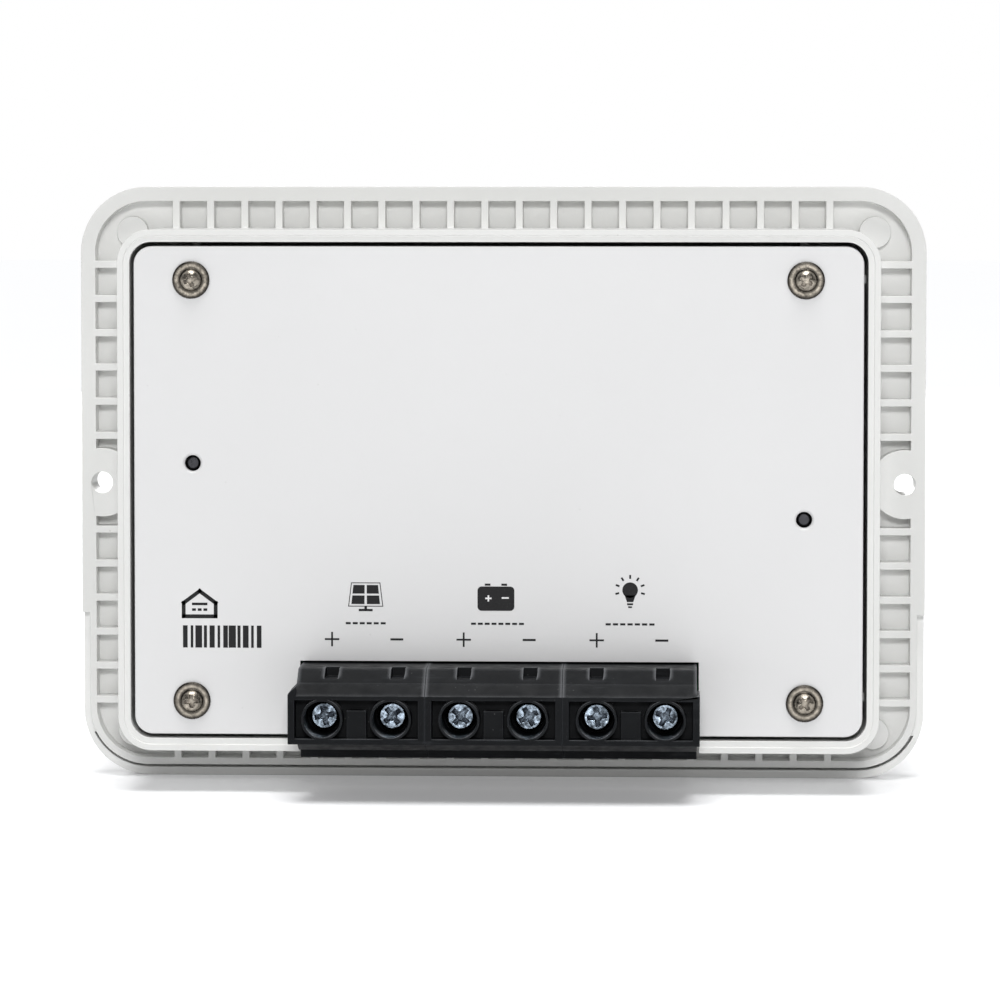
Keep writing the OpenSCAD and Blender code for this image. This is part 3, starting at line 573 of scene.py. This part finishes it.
def solar_panel_mark(across, up):
    """Tilted panel of four cells in a thin frame, on a short post with a foot."""
    top, bottom, half_top, half_low = up + 2.8, up - 1.7, 2.75, 3.3

    def at(share, level):
        half = half_low + (half_top - half_low) * level
        return (across + share * half, bottom + (top - bottom) * level)

    cells = []
    for left, right in [(-0.85, -0.07), (0.07, 0.85)]:
        for low, high in [(0.09, 0.46), (0.54, 0.91)]:
            cells.append([at(left, low), at(right, low), at(right, high), at(left, high)])
    frame_lines = outline([at(-1, 0), at(1, 0), at(1, 1), at(-1, 1)], 0.16)
    stand = [bar(across, bottom - 0.3, 0.5, 0.6), bar(across, bottom - 0.75, 2.7, 0.45)]
    return cells + frame_lines + stand


def lamp_mark(across, up):
    """Round bulb with a stepped base and seven rays."""
    bulb = disc(across, up, 1.5)
    neck = [(across - 1.05, up - 1.0), (across + 1.05, up - 1.0),
            (across + 0.6, up - 2.3), (across - 0.6, up - 2.3)]
    base = [bar(across, up - 2.72, 1.15, 0.36), bar(across, up - 3.28, 0.75, 0.3)]
    rays = []
    for angle in range(-15, 196, 35):
        t = math.radians(angle)
        a, u = across + 2.55 * math.cos(t), up + 2.55 * math.sin(t)
        rays.append(tilted_bar(a, u, 0.75, 0.36, angle))
    return [bulb, neck[::-1]] + base + rays


def dashes(across, up, count, pitch):
    """Row of short strokes that stands where a caption would be."""
    start = across - (count - 1) / 2 * pitch
    return [bar(start + i * pitch, up, pitch * 0.72, 0.42) for i in range(count)]


def battery_mark(across, up):
    """Solid case with two terminals on top."""
    case = rounded_bar(across, up, 7.1, 4.7, 0.8)
    return [case, bar(across - 1.6, up + 2.7, 1.1, 0.42), bar(across + 1.6, up + 2.7, 1.1, 0.42)]


def house_mark(across, up):
    """House outline round a direct-current sign."""
    half, eaves, floor_line, ridge = 3.1, up + 0.2, up - 2.4, up + 2.5
    walls = [(across - half, floor_line), (across + half, floor_line), (across + half, eaves),
             (across, ridge), (across - half, eaves)]
    dots = [bar(across + 1.1 * (i - 1), up - 1.1, 0.75, 0.5) for i in range(3)]
    return outline(walls, 0.75) + [bar(across, up, 3.0, 0.5)] + dots


def bar_row(left, up, width, height):
    """Row of upright bars of mixed widths."""
    widths = [0.9, 0.5, 1.3, 0.6, 1.0, 0.5, 0.9, 1.4, 0.6, 1.1, 0.5, 0.9]
    step = width / len(widths)
    return [bar(left + step * i, up, w, height) for i, w in enumerate(widths)]


def cover_marks():
    """Signs over the terminal pairs, and two plain marks at the cover's lower left."""
    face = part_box("back_plate")[1].y
    solar, battery, load = -25.4, -0.3, 25.5
    sign_z, caption_z, polarity_z = -20.5, -25.5, -28.6
    ink = solar_panel_mark(solar, sign_z) + battery_mark(battery, sign_z - 0.15)
    ink += lamp_mark(load, sign_z + 1.6)
    for middle, count, pitch in [(solar, 6, 1.35), (0.0, 8, 1.32), (load, 7, 1.4)]:
        ink += dashes(middle, caption_z, count, pitch)
    for plus, minus in [(-31.9, -19.4), (-6.5, 6.1), (19.1, 31.6)]:
        ink += plus_sign(plus, polarity_z, 2.8, 0.36)
        ink.append(bar(minus, polarity_z, 2.5, 0.42))
    printed("cover_signs", ink, face, 1, "controller", "ink")
    poles = plus_sign(battery - 1.45, sign_z - 0.1, 1.2, 0.3)
    poles.append(bar(battery + 1.8, sign_z, 1.35, 0.3))
    printed("battery_sign_poles", poles, face + PRINT_T * MM, 1, "controller", "light")
    marks = house_mark(-57.5, -21.9) + bar_row(-60.3, -28.2, 15.6, 4.3)
    printed("cover_plain_marks", marks, face, 1, "controller", "ink")


def digit(across, up, height, lit):
    """Seven-segment figure: lit names its segments, from a at the top to g in the middle."""
    width, line, half = height * 0.52, height * 0.11, height / 2
    gap = line * 1.25
    places = {
        "a": (0, half, 0), "d": (0, -half, 0), "g": (0, 0, 0),
        "b": (width / 2, half / 2, 90), "c": (width / 2, -half / 2, 90),
        "e": (-width / 2, -half / 2, 90), "f": (-width / 2, half / 2, 90)}
    shapes = []
    for name in lit:
        a, u, angle = places[name]
        length = (half if angle else width) - gap
        shapes.append(tilted_bar(across + a, up + u, length, line, angle))
    return shapes


def gauge(across, up):
    """Battery outline with four lit bars and a terminal at its right end."""
    case = outline(bar(across, up, 11.0, 6.0), 0.5)
    bars = [bar(across - 3.6 + 2.4 * i, up, 1.7, 4.2) for i in range(4)]
    return case + bars + [bar(across + 6.4, up, 0.9, 2.4)]


def display_marks():
    """Lit segments of the display: a reading, a battery gauge, a panel, a lamp and a level."""
    low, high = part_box("lcd_glass")
    middle = (low.z + high.z) / 2 / MM
    upper, lower = middle + 9, middle - 6
    marks = []
    for across, lit in [(-8.0, "bc"), (3.5, "abgcd"), (17.5, "abged")]:
        marks += digit(across, middle + 1, 15, lit)
    marks.append(disc(10.6, lower - 0.2, 0.9))
    marks += gauge(-19, lower) + solar_panel_mark(-21, upper) + lamp_mark(28, upper)
    marks += [bar(26.5 + 1.7 * i, lower + 0.35 * i, 1.0, 2.2 + 0.7 * i) for i in range(3)]
    printed("display_segments", marks, low.y, -1, "controller", "ink")


def overlay_marks():
    """Fine printed lines round the buttons and under the lamps."""
    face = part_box("front_overlay")[0].y
    marks = []
    for i in (1, 2, 3):
        low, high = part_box(f"button_cap_{i}")
        across, up = (low.x + high.x) / 2 / MM, (low.z + high.z) / 2 / MM
        ring = disc(across, up, (high.x - low.x) / 2 / MM + 1.1)
        marks += outline(ring, 0.3)
    lamps_low, lamps_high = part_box("status_lamps")
    marks += outline(rounded_bar(0, (lamps_low.z + lamps_high.z) / 2 / MM, 58, 6.4, 3), 0.22)
    printed("overlay_lines", marks, face, -1, "controller", "light")


def button_marks():
    """Up, down and select signs on the three caps."""
    for i, points in [(1, [(-1.9, -1.3), (1.9, -1.3), (0, 1.9)]), (2, disc(0, 0, 1.6)),
                      (3, [(-1.9, 1.3), (0, -1.9), (1.9, 1.3)])]:
        low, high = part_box(f"button_cap_{i}")
        across, up = (low.x + high.x) / 2 / MM, (low.z + high.z) / 2 / MM
        moved = [(across + a, up + u) for a, u in points]
        printed(f"button_sign_{i}", [moved], low.y, -1, f"button_{i}", "ink")


cover_marks()
display_marks()
overlay_marks()
button_marks()


# ---------- studio ----------

KEY_HEIGHT = math.radians(18)
KEY_DISTANCE = 1.6
FLOOR_HALF = 6.0


def floor():
    """Pale sheet that glows a little, so that shadows on it stay light."""
    bm = bmesh.new()
    bmesh.ops.create_grid(bm, x_segments=1, y_segments=1, size=FLOOR_HALF)
    mesh = bpy.data.meshes.new("studio_floor")
    bm.to_mesh(mesh)
    bm.free()
    plane = bpy.data.objects.new("studio_floor", mesh)
    plane.location = (0, 0, cad_box[0].z)
    bpy.context.scene.collection.objects.link(plane)
    s = Surface("floor_white", (0.85, 0.855, 0.865), 0.8, Emission_Strength=0.16)
    s.shader.inputs["Emission Color"].default_value = (0.99, 0.99, 1.0, 1.0)
    s.shade(s.noise(0.4), 0.995, 1.0)
    mesh.materials.append(s.done())


def softbox(name, place, width, height, power):
    """Rectangular light aimed at the middle of the object."""
    data = bpy.data.lights.new(name, "AREA")
    data.shape = "RECTANGLE"
    data.size, data.size_y = width, height
    data.energy = power
    lamp = bpy.data.objects.new(name, data)
    lamp.location = place
    lamp.rotation_euler = (-Vector(place)).to_track_quat("-Z", "Y").to_euler()
    bpy.context.scene.collection.objects.link(lamp)


def overhead(strength, spread, tilt):
    """Even soft light from above, leaning over the cover side, which whitens the floor."""
    data = bpy.data.lights.new("overhead", "SUN")
    data.energy = strength
    data.angle = math.radians(spread)
    lamp = bpy.data.objects.new("overhead", data)
    lamp.rotation_euler = (-math.radians(tilt), 0, 0)
    lamp.location = (0, 0, 1)
    bpy.context.scene.collection.objects.link(lamp)


def white_world(strength):
    """White where the camera looks, and a softer level of the same white as light."""
    world = bpy.data.worlds.new("studio_white")
    world.use_nodes = True
    bpy.context.scene.world = world
    tree = world.node_tree
    seen = tree.nodes["Background"]
    seen.inputs["Strength"].default_value = 1.0
    seen.inputs["Color"].default_value = (1, 1, 1, 1)
    light = tree.nodes.new("ShaderNodeBackground")
    light.inputs["Color"].default_value = (1, 1, 1, 1)
    light.inputs["Strength"].default_value = strength
    path = tree.nodes.new("ShaderNodeLightPath")
    mix = tree.nodes.new("ShaderNodeMixShader")
    tree.links.new(path.outputs["Is Camera Ray"], mix.inputs["Fac"])
    tree.links.new(light.outputs["Background"], mix.inputs[1])
    tree.links.new(seen.outputs["Background"], mix.inputs[2])
    tree.links.new(mix.outputs["Shader"], tree.nodes["World Output"].inputs["Surface"])


def photo_camera():
    """Long lens a little above the cover plate, aimed just off its middle."""
    data = bpy.data.cameras.new("camera")
    data.sensor_width = 36.0
    data.lens = 164.56
    data.shift_x = 0.0427
    data.shift_y = -0.0834
    data.clip_start = 0.01
    camera = bpy.data.objects.new("camera", data)
    camera.location = (-31.9 * MM, 899.4 * MM, 59.4 * MM)
    aim = Vector((8.8 * MM, 0, 13.2 * MM)) - camera.location
    camera.rotation_euler = aim.to_track_quat("-Z", "Y").to_euler()
    bpy.context.scene.collection.objects.link(camera)
    bpy.context.scene.camera = camera


floor()
white_world(0.15)
photo_camera()
key_place = (-0.06, KEY_DISTANCE * math.cos(KEY_HEIGHT), KEY_DISTANCE * math.sin(KEY_HEIGHT))
softbox("key", key_place, 0.3, 0.22, 10.0)
softbox("front_fill", (0.25, -1.6, 0.3), 0.7, 0.5, 11.0)
overhead(2.85, 40, 12)
bpy.context.scene.view_settings.view_transform = "Standard"
